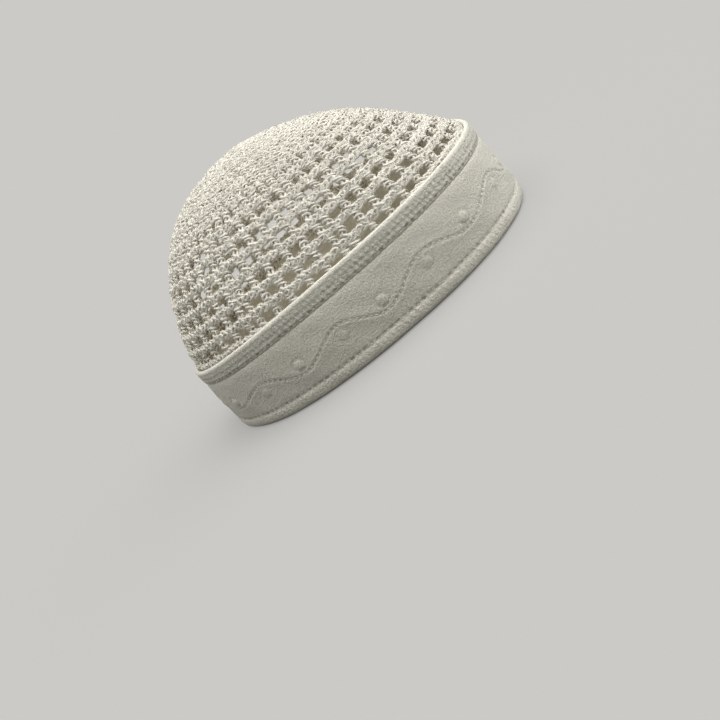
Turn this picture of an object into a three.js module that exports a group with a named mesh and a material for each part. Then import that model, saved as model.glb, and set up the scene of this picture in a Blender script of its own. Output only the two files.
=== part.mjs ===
// A crocheted skullcap with a quilted cloth band, resting on its rim.
// Millimetres. +Z is up, the front is -Y, and the origin is on the surface that the cap rests on,
// under the middle of its length and width.

import * as THREE from "three";

// Plan of the cap: a rounded oval, blunter at the front than at the back.
const WIDEST_Y = -3.4;
const FRONT_BLUNTNESS = 2.44;
const BACK_BLUNTNESS = 2.11;
const RIM = { front: 97.2, back: 97.2, halfWidth: 78.9 };
const TOP_EDGE = { front: 95.3, back: 96.7, halfWidth: 76.9 };

// Height of the band's top edge above the rim: nearly level, lower over the nape.
const BAND_HEIGHT = 44.6;
const FRONT_HEIGHT_CHANGE = -0.5;
const BACK_HEIGHT_CHANGE = -5.8;

// The dome above the band.
const APEX_Y = 7.5;
const APEX_HEIGHT = 108.9;
const FRONT_TO_BACK_BLEND = 20;
const CROWN_THICKNESS = 2.4;
const CROWN_INSET = 2.9;
const INSET_FADES_BY = 15;

// Reach of the dome from its apex, as a share of the top edge's reach. A row for every 15 degrees of
// climb, where the sine of the climb is the share of the height from the band's edge to the apex.
const CLIMB_STEP = 15;
const DOME_SECTIONS = [
  { climb: 0, front: 1.0, back: 1.0 },
  { climb: 15, front: 0.843, back: 0.908 },
  { climb: 30, front: 0.702, back: 0.8 },
  { climb: 45, front: 0.534, back: 0.658 },
  { climb: 60, front: 0.333, back: 0.489 },
  { climb: 75, front: 0.141, back: 0.27 },
  { climb: 90, front: 0.0, back: 0.0 },
];

// The open net. Each gap stands for a block of about two by two holes of the real net.
const GAPS_AROUND = 27;
const GAP_ROWS = 4;
const POST_WIDTH = 4.6;
const STEPS_ACROSS_GAP = 2;
const GAP_HEIGHT = 10.4;
const ROUND_HEIGHT = 3.2;
const FIRST_GAP_RISE = 3.0;
const TUCKED_MARGIN = 9.5;
const DENSE_ROUNDS = 6;

// Sections of the cloth. "out" is measured from the band's outer face, and "up" from the rim at the
// side of the cap, where the band has its full height. Each section runs round its own loop.
const BAND_SECTION = [
  { out: -2.7, up: 0.0 },
  { out: -0.7, up: 0.0 },
  { out: 0.0, up: 1.0 },
  { out: 0.6, up: 3.6 },
  { out: 0.3, up: 6.0 },
  { out: -0.6, up: 7.2 },
  { out: 0.1, up: 8.8 },
  { out: 0.4, up: 20.0 },
  { out: 0.1, up: 33.0 },
  { out: -0.5, up: 35.5 },
  { out: -1.3, up: 35.9 },
  { out: -1.3, up: 43.3 },
  { out: -2.6, up: 43.3 },
  { out: -2.6, up: 33.0 },
  { out: -2.3, up: 20.0 },
  { out: -2.7, up: 7.2 },
  { out: -3.1, up: 3.6 },
];
const BINDING_SECTION = [
  { out: -1.0, up: 36.3 },
  { out: -0.2, up: 36.3 },
  { out: 0.1, up: 37.2 },
  { out: 0.1, up: 42.6 },
  { out: -0.4, up: 44.1 },
  { out: -1.3, up: 44.6 },
  { out: -2.3, up: 44.3 },
  { out: -2.6, up: 43.65 },
  { out: -1.0, up: 43.65 },
];
const CLOTH_STEPS_AROUND = 72;

const YARN = new THREE.MeshStandardMaterial({ color: 0xe9e4d6, roughness: 0.85, metalness: 0 });
const CLOTH = new THREE.MeshStandardMaterial({ color: 0xe6e3da, roughness: 0.95, metalness: 0 });

const mix = THREE.MathUtils.lerp;

// A power that keeps the sign of its base.
function signedPower(base, power) {
  return Math.sign(base) * Math.abs(base) ** power;
}

// A point of an oval at the given turn, with the outward normal of the oval there.
function ovalAt(oval, turn) {
  const across = Math.cos(turn);
  const along = Math.sin(turn);
  const atFront = along < 0;
  const bluntness = atFront ? FRONT_BLUNTNESS : BACK_BLUNTNESS;
  const reach = atFront ? oval.front + WIDEST_Y : oval.back - WIDEST_Y;
  const point = new THREE.Vector2(
    oval.halfWidth * signedPower(across, 2 / bluntness),
    WIDEST_Y + reach * signedPower(along, 2 / bluntness),
  );
  const normal = new THREE.Vector2(
    signedPower(across, 2 - 2 / bluntness) / oval.halfWidth,
    signedPower(along, 2 - 2 / bluntness) / reach,
  ).normalize();
  return { point, normal };
}

// Height of the band's top edge at the given turn.
function edgeHeight(turn) {
  const along = Math.sin(turn);
  const change = along < 0 ? FRONT_HEIGHT_CHANGE : BACK_HEIGHT_CHANGE;
  return BAND_HEIGHT + change * along ** 2;
}

// A point beside the band's outer face.
function bandPoint(turn, out, up) {
  const share = up / BAND_HEIGHT;
  const low = ovalAt(RIM, turn);
  const high = ovalAt(TOP_EDGE, turn);
  const plan = low.point.lerp(high.point, share).addScaledVector(high.normal, out);
  return new THREE.Vector3(plan.x, plan.y, share * edgeHeight(turn));
}

// Turns at equal steps of length along the band's top edge.
function turnsByLength(shares) {
  const samples = 1440;
  const lengths = [0];
  let last = ovalAt(TOP_EDGE, 0).point;
  for (let i = 1; i <= samples; i += 1) {
    const next = ovalAt(TOP_EDGE, (i / samples) * 2 * Math.PI).point;
    lengths.push(lengths[i - 1] + next.distanceTo(last));
    last = next;
  }
  return shares.map((share) => {
    const wanted = share * lengths[samples];
    const i = Math.max(1, lengths.findIndex((length) => length >= wanted));
    const part = (wanted - lengths[i - 1]) / (lengths[i] - lengths[i - 1]);
    return ((i - 1 + part) / samples) * 2 * Math.PI;
  });
}

// One column of the dome's sections at any climb, through a smooth curve.
function sectionReach(side, climb) {
  const last = DOME_SECTIONS.length - 1;
  const i = Math.min(Math.floor(climb / CLIMB_STEP), last - 1);
  const part = climb / CLIMB_STEP - i;
  const near = DOME_SECTIONS[i][side];
  const far = DOME_SECTIONS[i + 1][side];
  const before = i > 0 ? DOME_SECTIONS[i - 1][side] : 2 * near - far;
  const after = i + 2 <= last ? DOME_SECTIONS[i + 2][side] : 2 * far - near;
  const slopeNear = (far - before) / 2;
  const slopeFar = (after - near) / 2;
  const bend = 3 * (far - near) - 2 * slopeNear - slopeFar;
  const twist = 2 * (near - far) + slopeNear + slopeFar;
  return near + part * (slopeNear + part * (bend + part * twist));
}

// A point of the dome's outer face at the given turn and climb.
function domePoint(turn, climb) {
  const edge = ovalAt(TOP_EDGE, turn);
  const inset = CROWN_INSET * Math.max(0, 1 - climb / INSET_FADES_BY) ** 2;
  const plan = edge.point.addScaledVector(edge.normal, -inset);
  const front = sectionReach("front", climb);
  const back = sectionReach("back", climb);
  const backness = 1 / (1 + Math.exp((APEX_Y - plan.y) / FRONT_TO_BACK_BLEND));
  const rise = Math.sin(THREE.MathUtils.degToRad(climb));
  return new THREE.Vector3(
    plan.x * mix(front, back, 0.5),
    APEX_Y + (plan.y - APEX_Y) * mix(front, back, backness),
    mix(edgeHeight(turn), APEX_HEIGHT, rise),
  );
}

// The dome's outer face from the band's edge to the apex at one turn, with points found by the
// length of the way up. A negative length lies on the margin inside the band.
function meridian(turn) {
  const points = [];
  const lengths = [0];
  for (let climb = 0; climb <= 90; climb += 1) {
    points.push(domePoint(turn, climb));
    if (climb > 0) {
      lengths.push(lengths[climb - 1] + points[climb].distanceTo(points[climb - 1]));
    }
  }
  function pointAt(length) {
    if (length < 0) {
      return bandPoint(turn, -CROWN_INSET, BAND_HEIGHT + length);
    }
    const found = lengths.findIndex((reached) => reached >= length);
    const i = found < 1 ? Math.max(found, 0) + 1 : found;
    const part = (length - lengths[i - 1]) / (lengths[i] - lengths[i - 1]);
    return points[i - 1].clone().lerp(points[i], part);
  }
  return { length: lengths[90], pointAt };
}

// A geometry from points and the triangles between them.
function solid(points, triangles) {
  const geometry = new THREE.BufferGeometry();
  const positions = points.flatMap((point) => [point.x, point.y, point.z]);
  geometry.setAttribute("position", new THREE.Float32BufferAttribute(positions, 3));
  geometry.setIndex(triangles.flat());
  geometry.computeVertexNormals();
  return geometry;
}

// A closed ring of cloth: one section carried round the cap.
function clothRing(section) {
  const shares = Array.from({ length: CLOTH_STEPS_AROUND }, (_, i) => i / CLOTH_STEPS_AROUND);
  const turns = turnsByLength(shares);
  const points = turns.flatMap((turn) => section.map((row) => bandPoint(turn, row.out, row.up)));
  const triangles = [];
  for (let i = 0; i < turns.length; i += 1) {
    const here = i * section.length;
    const next = ((i + 1) % turns.length) * section.length;
    for (let j = 0; j < section.length; j += 1) {
      const k = (j + 1) % section.length;
      triangles.push([here + j, next + j, next + k]);
      triangles.push([here + j, next + k, here + k]);
    }
  }
  return solid(points, triangles);
}

// Columns of the crown, in order round it: a post, and then the steps across a gap.
function crownColumns() {
  const edgeLength = 2 * Math.PI * Math.sqrt((TOP_EDGE.front ** 2 + TOP_EDGE.halfWidth ** 2) / 2);
  const postShare = POST_WIDTH / edgeLength;
  const columns = [];
  for (let i = 0; i < GAPS_AROUND; i += 1) {
    const start = i / GAPS_AROUND;
    const gapShare = (1 / GAPS_AROUND - postShare) / STEPS_ACROSS_GAP;
    columns.push({ share: start, isGap: false });
    for (let step = 0; step < STEPS_ACROSS_GAP; step += 1) {
      columns.push({ share: start + postShare + step * gapShare, isGap: true });
    }
  }
  return columns;
}

// Rounds of the crown from its tucked lower margin up to the dense middle. "rise" is the length up
// from the band's edge to the lower side of the round.
function netRounds() {
  const rounds = [
    { rise: -TUCKED_MARGIN, isGap: false },
    { rise: 0, isGap: false },
  ];
  for (let row = 0; row < GAP_ROWS; row += 1) {
    const rise = FIRST_GAP_RISE + row * (GAP_HEIGHT + ROUND_HEIGHT);
    rounds.push({ rise, isGap: true });
    rounds.push({ rise: rise + GAP_HEIGHT, isGap: false });
  }
  return rounds;
}

// The crown: a dome-shaped wall with a dense middle and a net of square gaps.
function crochetCrown() {
  const columns = crownColumns();
  const turns = turnsByLength(columns.map((column) => column.share));
  const rounds = netRounds();
  const netTop = rounds[rounds.length - 1].rise + ROUND_HEIGHT;
  const outer = turns.map((turn) => {
    const line = meridian(turn);
    const rises = rounds.map((round) => round.rise);
    for (let i = 0; i < DENSE_ROUNDS; i += 1) {
      rises.push(mix(netTop, line.length, i / DENSE_ROUNDS));
    }
    return rises.map((rise) => line.pointAt(rise));
  });
  const levels = outer[0].length;
  const inner = outer.map((line, i) => line.map((point, j) => {
    const before = outer[(i + turns.length - 1) % turns.length][j];
    const after = outer[(i + 1) % turns.length][j];
    const below = line[Math.max(j - 1, 0)];
    const above = line[Math.min(j + 1, levels - 1)];
    const round = after.clone().sub(before);
    const normal = round.cross(above.clone().sub(below)).normalize();
    return point.clone().addScaledVector(normal, -CROWN_THICKNESS);
  }));
  const points = [...outer.flat(), ...inner.flat()];
  const outerApex = points.push(new THREE.Vector3(0, APEX_Y, APEX_HEIGHT)) - 1;
  const innerApex = points.push(new THREE.Vector3(0, APEX_Y, APEX_HEIGHT - CROWN_THICKNESS)) - 1;

  const outerIndex = (i, j) => (i % turns.length) * levels + j;
  const innerIndex = (i, j) => outerIndex(i, j) + turns.length * levels;
  const isGap = (i, j) => columns[i % turns.length].isGap && j < rounds.length && rounds[j].isGap;
  const triangles = [];
  const quad = (a, b, c, d) => triangles.push([a, b, c], [a, c, d]);
  // A strip of the wall's thickness between two corners of the grid.
  const edge = (i0, j0, i1, j1) => quad(
    outerIndex(i0, j0),
    innerIndex(i0, j0),
    innerIndex(i1, j1),
    outerIndex(i1, j1),
  );
  for (let i = 0; i < turns.length; i += 1) {
    edge(i, 0, i + 1, 0);
    for (let j = 0; j + 1 < levels; j += 1) {
      if (!isGap(i, j)) {
        quad(outerIndex(i, j), outerIndex(i + 1, j), outerIndex(i + 1, j + 1), outerIndex(i, j + 1));
        quad(innerIndex(i, j), innerIndex(i, j + 1), innerIndex(i + 1, j + 1), innerIndex(i + 1, j));
        continue;
      }
      edge(i + 1, j, i, j);
      edge(i, j + 1, i + 1, j + 1);
      if (!isGap(i + turns.length - 1, j)) {
        edge(i, j, i, j + 1);
      }
      if (!isGap(i + 1, j)) {
        edge(i + 1, j + 1, i + 1, j);
      }
    }
    triangles.push([outerIndex(i, levels - 1), outerIndex(i + 1, levels - 1), outerApex]);
    triangles.push([innerIndex(i + 1, levels - 1), innerIndex(i, levels - 1), innerApex]);
  }
  return solid(points, triangles);
}

function named(name, geometry, material) {
  const mesh = new THREE.Mesh(geometry, material);
  mesh.name = name;
  return mesh;
}

const cap = new THREE.Group();
cap.add(named("crochet_crown", crochetCrown(), YARN));
cap.add(named("band", clothRing(BAND_SECTION), CLOTH));
cap.add(named("top_binding", clothRing(BINDING_SECTION), CLOTH));

export default cap;
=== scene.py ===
"""A crocheted skullcap with a quilted cloth band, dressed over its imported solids.

The solids give the cap's form. This script sews and crochets over it: the padded band with its quilted
vine, the folded binding, the thread, and the crown's net and dense middle, stitch by stitch.
Sizes are in millimetres until a mesh is made, and then in metres.
"""

import math

import bpy
import numpy as np
from mathutils import Matrix, Vector


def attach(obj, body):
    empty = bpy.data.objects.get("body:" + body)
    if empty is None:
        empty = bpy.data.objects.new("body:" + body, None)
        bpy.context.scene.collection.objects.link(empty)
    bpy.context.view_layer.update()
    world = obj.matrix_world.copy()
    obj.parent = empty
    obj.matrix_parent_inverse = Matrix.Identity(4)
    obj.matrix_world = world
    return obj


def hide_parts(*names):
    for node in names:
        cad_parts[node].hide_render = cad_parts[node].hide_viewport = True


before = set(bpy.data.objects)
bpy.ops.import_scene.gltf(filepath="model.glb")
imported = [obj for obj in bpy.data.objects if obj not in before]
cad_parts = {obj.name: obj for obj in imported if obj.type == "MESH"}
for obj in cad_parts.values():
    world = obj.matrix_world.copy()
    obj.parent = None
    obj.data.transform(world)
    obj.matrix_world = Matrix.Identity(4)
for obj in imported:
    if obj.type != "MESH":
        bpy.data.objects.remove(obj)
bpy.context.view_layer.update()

MM = 0.001
draw = np.random.RandomState(7)

# The cap's plan and dome, the same as the solids'
WIDEST_Y = -3.4
FRONT_BLUNTNESS = 2.44
BACK_BLUNTNESS = 2.11
RIM = {"front": 97.2, "back": 97.2, "half_width": 78.9}
TOP_EDGE = {"front": 95.3, "back": 96.7, "half_width": 76.9}
BAND_HEIGHT = 44.6
FRONT_HEIGHT_CHANGE = -0.5
BACK_HEIGHT_CHANGE = -5.8
APEX_Y = 7.5
APEX_HEIGHT = 108.9
FRONT_TO_BACK_BLEND = 20
CROWN_INSET = 2.9
INSET_FADES_BY = 15
CLIMBS = np.radians([0, 15, 30, 45, 60, 75, 90])
FRONT_REACH = [1.0, 0.843, 0.702, 0.534, 0.333, 0.141, 0.0]
BACK_REACH = [1.0, 0.908, 0.8, 0.658, 0.489, 0.27, 0.0]

# The cloth's sections: how far out of the band's face, and how high above the rim
BAND_SECTION = [
    (-1.7, 0.0), (-0.6, 0.3), (0.2, 1.4), (0.5, 3.2), (0.5, 5.2), (0.25, 7.1), (0.3, 9.0), (0.4, 14.0),
    (0.45, 20.0), (0.35, 27.0), (0.1, 32.5), (-0.4, 35.2), (-1.2, 36.6), (-1.35, 40.0), (-1.5, 42.7),
    (-1.9, 43.2), (-2.4, 42.7), (-2.6, 38.0), (-2.5, 30.0), (-2.3, 20.0), (-2.5, 11.0), (-2.75, 7.2),
    (-3.1, 4.6), (-2.9, 1.6), (-2.4, 0.3),
]
BINDING_SECTION = [
    (-0.75, 35.9), (-0.2, 35.8), (0.0, 36.4), (0.05, 38.0), (0.1, 40.5), (0.1, 42.6), (-0.35, 44.1),
    (-1.3, 44.7), (-2.2, 44.35), (-2.55, 43.7), (-2.0, 43.5), (-1.1, 43.5), (-0.95, 41.0), (-0.95, 38.0),
]

# Places of a section that lie further out than this are on its outer side
BAND_OUTER_SIDE = -0.9
BINDING_OUTER_SIDE = -0.6

# How finely the cloth is meshed: rows round each section, closer together on its outer side
COLUMNS_PER_STITCH = 6
BAND_MESH = {"rows": 92, "closer": 2.6, "outer_side": BAND_OUTER_SIDE, "fine_below": 36}
BINDING_MESH = {"rows": 40, "closer": 2.0, "outer_side": BINDING_OUTER_SIDE, "fine_below": 45}
WELD = 1e-6

# The quilted vine: where it crests and dips along the band, from the back over the camera's side
VINE = [dict(zip(("crest", "crest_up", "dip", "dip_up"), wave)) for wave in (
    (21.0, 24.0, 45.0, 15.8),
    (71.5, 23.3, 96.0, 15.4),
    (122.5, 24.2, 145.0, 14.6),
    (171.5, 24.0, 196.5, 16.4),
    (225.0, 24.8, 244.5, 16.4),
    (275.0, 24.2, 299.0, 15.8),
    (325.5, 24.0, 349.5, 15.6),
    (376.0, 24.4, 400.0, 15.4),
    (426.5, 23.8, 450.5, 16.0),
    (477.0, 24.2, 501.0, 15.8),
    (527.5, 24.0, 551.5, 15.6),
)]
BERRY_RADIUS = 3.1
BERRIES = [
    {"by": "dip", "aside": 0.4, "over": 5.0, "proud": 1.0},
    {"by": "crest", "aside": -0.6, "over": -5.3, "proud": 0.6},
]

# Rows of machine stitches
STITCH_PITCH = 3.79
VINE_PITCH = 2.6
HEM_ROW_UP = 7.15
BINDING_MIDDLE = 38.8
BINDING_ROWS = [
    {"up": 36.5, "pull": 0.8, "dark": 0.9, "shift": 0.0},
    {"up": 39.1, "pull": 0.4, "dark": 0.36, "shift": 0.37},
    {"up": 41.8, "pull": 0.3, "dark": 0.26, "shift": 0.71},
]
BINDING_JOIN = 205.0

# Slow waves of worn cloth: how many in a lap, how they change upwards, and where they start
CLOTH_WAVES = ((4, 0.05, 0.3), (7, -0.08, 2.1), (11, 0.11, 4.4), (17, -0.06, 1.2), (26, 0.2, 5.1))
BAND_WAVINESS = 0.16
INSIDE_WAVINESS = 0.12
BINDING_WAVINESS = 0.1
PUCKERS_PER_STITCH = 1.4

# Relief of the cloth: how high or deep each form is, and how wide. A row is deeper at each stitch
HEM_STITCH = {"size": 0.74, "wide": 0.6}
HEM_GROOVE = {"size": 0.08, "wide": 1.5}
HEM_FOLDS = [
    {"size": 0.14, "over_row": -2.2, "wide": 1.6, "slant": 0.8},
    {"size": 0.1, "over_row": 1.9, "wide": 1.3, "slant": -0.6},
]
VINE_SWELL = {"size": 0.2, "wide": 3.2}
VINE_STITCH = {"between": 0.16, "stitch": 0.46, "wide": 0.58}
BERRY_SWELL = 0.52
BERRY_RING = {"size": 0.22, "wide": 0.5}
BINDING_COVERS = {"from": 34.4, "fully_after": 1.6}
BINDING_FOLDS = {"size": 0.19, "wide": 3.4, "slant": 0.55}
BINDING_STITCH = {"between": 0.05, "stitch": 0.8, "wide": 0.5}
BINDING_GROOVE = {"size": 0.12, "wide": 1.1}
JOIN_GROOVE = {"size": 0.35, "wide": 0.6}

# Painted shade: how much the cloth is darkened in the dimples of its stitches, in the binding's folds and
# join, and in the ring round each berry, and how widely
HEM_SHADE = {"size": 0.4, "wide": 0.45}
VINE_SHADE = {"between": 0.04, "stitch": 0.3, "wide": 0.45}
BERRY_SHADE = {"size": 0.15, "wide": 0.5}
FOLD_SHADE = {"size": 0.1, "wide": 3.0, "folds": 0.7}
JOIN_SHADE = {"size": 0.4, "wide": 0.7}
ROW_SHADE = {"between": 0.1, "stitch": 0.9, "wide": 0.48}

# The thread: half a stitch's length, how far it stands out of the cloth, and how unevenly it lies
THREAD_RADIUS = 0.24
THREAD_SAG = 0.28
HEM_THREAD = {"half_length": 1.2, "lift": 0.12, "tilt": 0.04}
BINDING_THREAD = {"half_length": 1.2, "lift": 0.1, "tilt": 0.06, "stray": 0.05}
VINE_THREAD = {"half_length": 1.0, "lift": -0.02}
BERRY_THREAD = {"half_length": 0.85, "lift": 0.03, "count": 8, "outside": 0.1}

# The crochet: yarn, and the rounds of the crown from the band up
YARN_RADIUS = 0.72
STRANDS = 3
STRAND_SPREAD = 1.14
POST_HEIGHT = 8.6
POST_TWIST = 4.6
POST_FLARE = 0.3
WRAPS = [
    {"at": 0.24, "tilt": 0.25, "lean": 0.62, "radius": 2.0},
    {"at": 0.5, "tilt": -0.2, "lean": 0.5, "radius": 1.85},
    {"at": 0.76, "tilt": 0.2, "lean": 0.4, "radius": 2.0},
]
WRAP_THICKNESS = 0.68
PRESSED_FLAT = 0.66
YARN_DEPTH = 1.5
FIRST_LINE = -4.6
TUCKED_LINE = -9.0
ROUND_PITCH = 8.6
NET_ROUNDS = 7
ENDS_RISE = 5.0
ENDS_SHARPNESS = 8
STARTING_RING = 1.2
DENSE_STITCHES = [76, 66, 54, 42, 28, 14]
NET_WIDTH = 1.0
DENSE_WIDTH = 1.05
SECTORS = 9
FIRST_SECTOR = 147.0
NARROW_GAP = 6.6
WIDE_GAPS = 5
LAST_NET_STITCHES = 64
LAST_NET_SHIFT = 0.3
LINE_SPREAD_START = -0.06
LINE_SPREAD_STEP = 0.0205

# The chains on top of the rounds
CHAIN_PITCH = 3.35
LINK_RADIUS = 1.7
LINK_REACH = 2.3
LINK_HALF_HEIGHT = 1.6
LINK_SLANT = 0.5
LINK_TAPER = 0.25
EDGE_RADIUS = 90
LINK_LOOPS = [
    {"size": 1.0, "lean": 0.18, "out": 0.0, "turn": 0.0},
    {"size": 0.7, "lean": -0.3, "out": 0.5, "turn": 0.5 * CHAIN_PITCH / EDGE_RADIUS},
]

# How uneven the hand leaves it: waves over the crown, and how much one stitch differs from the next
UNEVENNESS = 0.22
ASIDE_WAVES = ((7, 2.1, 0), (17, -3.3, 1), (31, 4.7, 2))
UPWARD_WAVES = ((6, -2.9, 4), (19, 1.7, 0), (37, -4.1, 5))
WAVE_RISE = 9
CROWN_RADIUS = 80
HELD_BELOW = -2
FREE_AFTER = 8
TURN_SPREAD = 0.004
POST_WIDTHS = (0.9, 1.1)
POST_DEPTH_SPREAD = 0.14
POST_SPIN = 0.9
PART_SPIN = 0.4
LINK_SIZES = (0.86, 1.14)
LINK_UP_SPREAD = 0.25
LINK_OUT = (0.2, 0.12)

# Loose fibres of the yarn
FIBRES = 49500
FIBRE_RADIUS = 0.17
FIBRE_LENGTHS = (1.2, 2.8)
FIBRE_SINK = 0.05
FIBRE_LIFT = 0.15
FIBRE_SLOPES = (-0.15, 0.12)
FACES_OUT = -0.1
CROWN_MIDDLE = np.array([0, 0, 30])
CROWN_REACH = np.array([79, 97, 79])

# The camera: where it stands, where it looks, and how it is rolled
CAMERA_PLACE = Vector((-391.2, -22.84, 110.88)) * MM
CAMERA_RIGHT = Vector((-0.1207, -0.7538, -0.6459))
CAMERA_UP = Vector((0.3185, -0.6457, 0.694))
CAMERA_LENS = 36.81

# Colours
# The yarn's colours: the darker one is painted shade in the grooves between its plies and fibres
YARN_COLOURS_AND_SHADE = ((0.73, 0.703, 0.63), (0.865, 0.844, 0.782))
YARN_SHEEN = (1.0, 0.975, 0.9)
FIBRE_COLOURS = ((0.80, 0.776, 0.704), (0.92, 0.9, 0.84))
CLOTH_COLOURS = ((0.605, 0.588, 0.516), (0.815, 0.803, 0.733))
# The colour of the painted shade in the cloth's stitches, folds and grooves
PAINTED_SHADE_COLOUR = (0.36, 0.345, 0.30)
THREAD_COLOURS = ((0.72, 0.70, 0.63), (0.80, 0.785, 0.73))

# The floor and the backdrop as the camera sees them. The stage's lengths are in metres
FLOOR_RADIUS = 9
FLOOR_DROP = 0.0003
FLOOR_COLOUR = (0.2, 0.199, 0.197)
FLOOR_GLOW = 0.29
BACKDROP = {"Color": (1.0, 0.983, 0.948, 1), "Strength": 0.6}
BACKDROP_EDGE = (0.25, 1.1)

# The floor as the light on the cap meets it: pale with a warm glow under the cap, and dark around it
UNDER_EDGE = (0.05, 0.075)
UNDER_GLOW = 0.54
UNDER_COLOUR = (1.0, 0.9, 0.72)
PALE_UNDER = (0.97, 0.94, 0.86)
DARK_AROUND = (0.08, 0.079, 0.075)

# The room's light and the lamps
ROOM_GLOW = 0.28
ROOM_COLOUR = (1.0, 0.965, 0.87)
LAMP_COLOUR = (1.0, 0.99, 0.96)
LAMPS = [
    {"name": "high_lamp", "energy": 2.2, "spread": 70, "way": (-0.05, -0.68, 0.72)},
    {"name": "overhead_lamp", "energy": 2.4, "spread": 72, "way": (0.0, 0.0, 1.0)},
]


# Form of the cap

def signed_power(base, power):
    """A power that keeps the sign of its base."""
    return np.sign(base) * np.abs(base) ** power


def oval_at(oval, turn):
    """Points of an oval, and its outward normals there."""
    across, along = np.cos(turn), np.sin(turn)
    at_front = along < 0
    bluntness = np.where(at_front, FRONT_BLUNTNESS, BACK_BLUNTNESS)
    reach = np.where(at_front, oval["front"] + WIDEST_Y, oval["back"] - WIDEST_Y)
    point = np.stack([
        oval["half_width"] * signed_power(across, 2 / bluntness),
        WIDEST_Y + reach * signed_power(along, 2 / bluntness),
    ], -1)
    normal = np.stack([
        signed_power(across, 2 - 2 / bluntness) / oval["half_width"],
        signed_power(along, 2 - 2 / bluntness) / reach,
    ], -1)
    return point, normal / np.linalg.norm(normal, axis=-1, keepdims=True)


def edge_height(turn):
    """Height of the band's top edge."""
    along = np.sin(turn)
    change = np.where(along < 0, FRONT_HEIGHT_CHANGE, BACK_HEIGHT_CHANGE)
    return BAND_HEIGHT + change * along ** 2


def band_point(turn, out, up):
    """Points beside the band's outer face."""
    turn, out, up = np.broadcast_arrays(turn, out, up)
    share = (up / BAND_HEIGHT)[..., None]
    low, _ = oval_at(RIM, turn)
    high, normal = oval_at(TOP_EDGE, turn)
    plan = low + (high - low) * share + normal * out[..., None]
    return np.concatenate([plan, share * edge_height(turn)[..., None]], -1)


def eased(before, near, far, after, part):
    """Part of a smooth way from near to far, on a line that also passes through before and after."""
    slope_near, slope_far = (far - before) / 2, (after - near) / 2
    bend = 3 * (far - near) - 2 * slope_near - slope_far
    twist = 2 * (near - far) + slope_near + slope_far
    return near + part * (slope_near + part * (bend + part * twist))


def smooth_row(values, climb):
    """A column of the dome's sections at any climb."""
    step = CLIMBS[1]
    last = len(values) - 1
    padded = np.array([2 * values[0] - values[1], *values, 2 * values[-1] - values[-2]])
    i = np.minimum((climb / step).astype(int), last - 1)
    return eased(*(padded[i + k] for k in range(4)), climb / step - i)


def dome_point(turn, climb):
    """Points of the dome's outer face."""
    turn, climb = np.broadcast_arrays(turn, climb)
    edge, normal = oval_at(TOP_EDGE, turn)
    fade = np.maximum(0, 1 - np.degrees(climb) / INSET_FADES_BY)
    plan = edge - normal * (CROWN_INSET * fade ** 2)[..., None]
    front, back = smooth_row(FRONT_REACH, climb), smooth_row(BACK_REACH, climb)
    backness = 1 / (1 + np.exp((APEX_Y - plan[..., 1]) / FRONT_TO_BACK_BLEND))
    height = edge_height(turn)
    return np.stack([
        plan[..., 0] * (front + back) / 2,
        APEX_Y + (plan[..., 1] - APEX_Y) * (front + (back - front) * backness),
        height + (APEX_HEIGHT - height) * np.sin(climb),
    ], -1)


# Tables of the lengths round the top edge and up the dome
EDGE_SAMPLES = 2881
EDGE_TURNS = np.linspace(math.pi / 2, 5 * math.pi / 2, EDGE_SAMPLES)
EDGE_STEPS = np.linalg.norm(np.diff(oval_at(TOP_EDGE, EDGE_TURNS)[0], axis=0), axis=1)
EDGE_LENGTHS = np.concatenate([[0], np.cumsum(EDGE_STEPS)])
GIRTH = EDGE_LENGTHS[-1]
DOME_TURNS = 720
DOME_STEPS = 240
FINE_CLIMBS = 361
LINE_SAMPLES = 1441

# Steps to each side for slopes and directions
HALF_STEP = 0.5
CROWN_STEP = 0.6


def turn_at(girth):
    """The turn at a length round the band's top edge, measured from the back."""
    return np.interp(np.mod(girth, GIRTH), EDGE_LENGTHS, EDGE_TURNS)


def dome_table():
    """Points of the dome at even shares of the way up, and the length of each way up."""
    turns = np.arange(DOME_TURNS) / DOME_TURNS * 2 * math.pi
    fine = dome_point(turns[:, None], np.linspace(0, math.pi / 2, FINE_CLIMBS)[None, :])
    steps = np.linalg.norm(np.diff(fine, axis=1), axis=2)
    lengths = np.concatenate([np.zeros((DOME_TURNS, 1)), np.cumsum(steps, axis=1)], axis=1)
    shares = np.linspace(0, 1, DOME_STEPS + 1)
    points = np.empty((DOME_TURNS, DOME_STEPS + 1, 3))
    for i, length in enumerate(lengths):
        for axis in range(3):
            points[i, :, axis] = np.interp(shares * length[-1], length, fine[i, :, axis])
    return points, lengths[:, -1]


DOME, DOME_LENGTHS = dome_table()


def dome_column(turn):
    """Where a turn lies among the columns of the dome's table."""
    return np.mod(turn, 2 * math.pi) / (2 * math.pi) * DOME_TURNS


def dome_length(turn):
    """Length of the way from the band's edge to the apex."""
    return np.interp(dome_column(turn), np.arange(DOME_TURNS + 1), np.append(DOME_LENGTHS, DOME_LENGTHS[0]))


def crown_point(turn, length):
    """Points of the crown by the length up from the band's edge. A negative length is inside the band."""
    turn, length = np.broadcast_arrays(turn, length)
    place = dome_column(turn)
    i = np.minimum(place.astype(int), DOME_TURNS - 1)
    part = (place - i)[..., None]
    rise = np.clip(length / dome_length(turn), 0, 1) * DOME_STEPS
    j = np.minimum(rise.astype(int), DOME_STEPS - 1)
    lift = (rise - j)[..., None]
    k = (i + 1) % DOME_TURNS
    low = DOME[i, j] * (1 - part) + DOME[k, j] * part
    high = DOME[i, j + 1] * (1 - part) + DOME[k, j + 1] * part
    above = low * (1 - lift) + high * lift
    below = band_point(turn, -CROWN_INSET, BAND_HEIGHT + length)
    return np.where((length < 0)[..., None], below, above)


def unit(vectors):
    """Vectors made one long."""
    return vectors / np.maximum(np.linalg.norm(vectors, axis=-1, keepdims=True), 1e-9)


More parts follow.
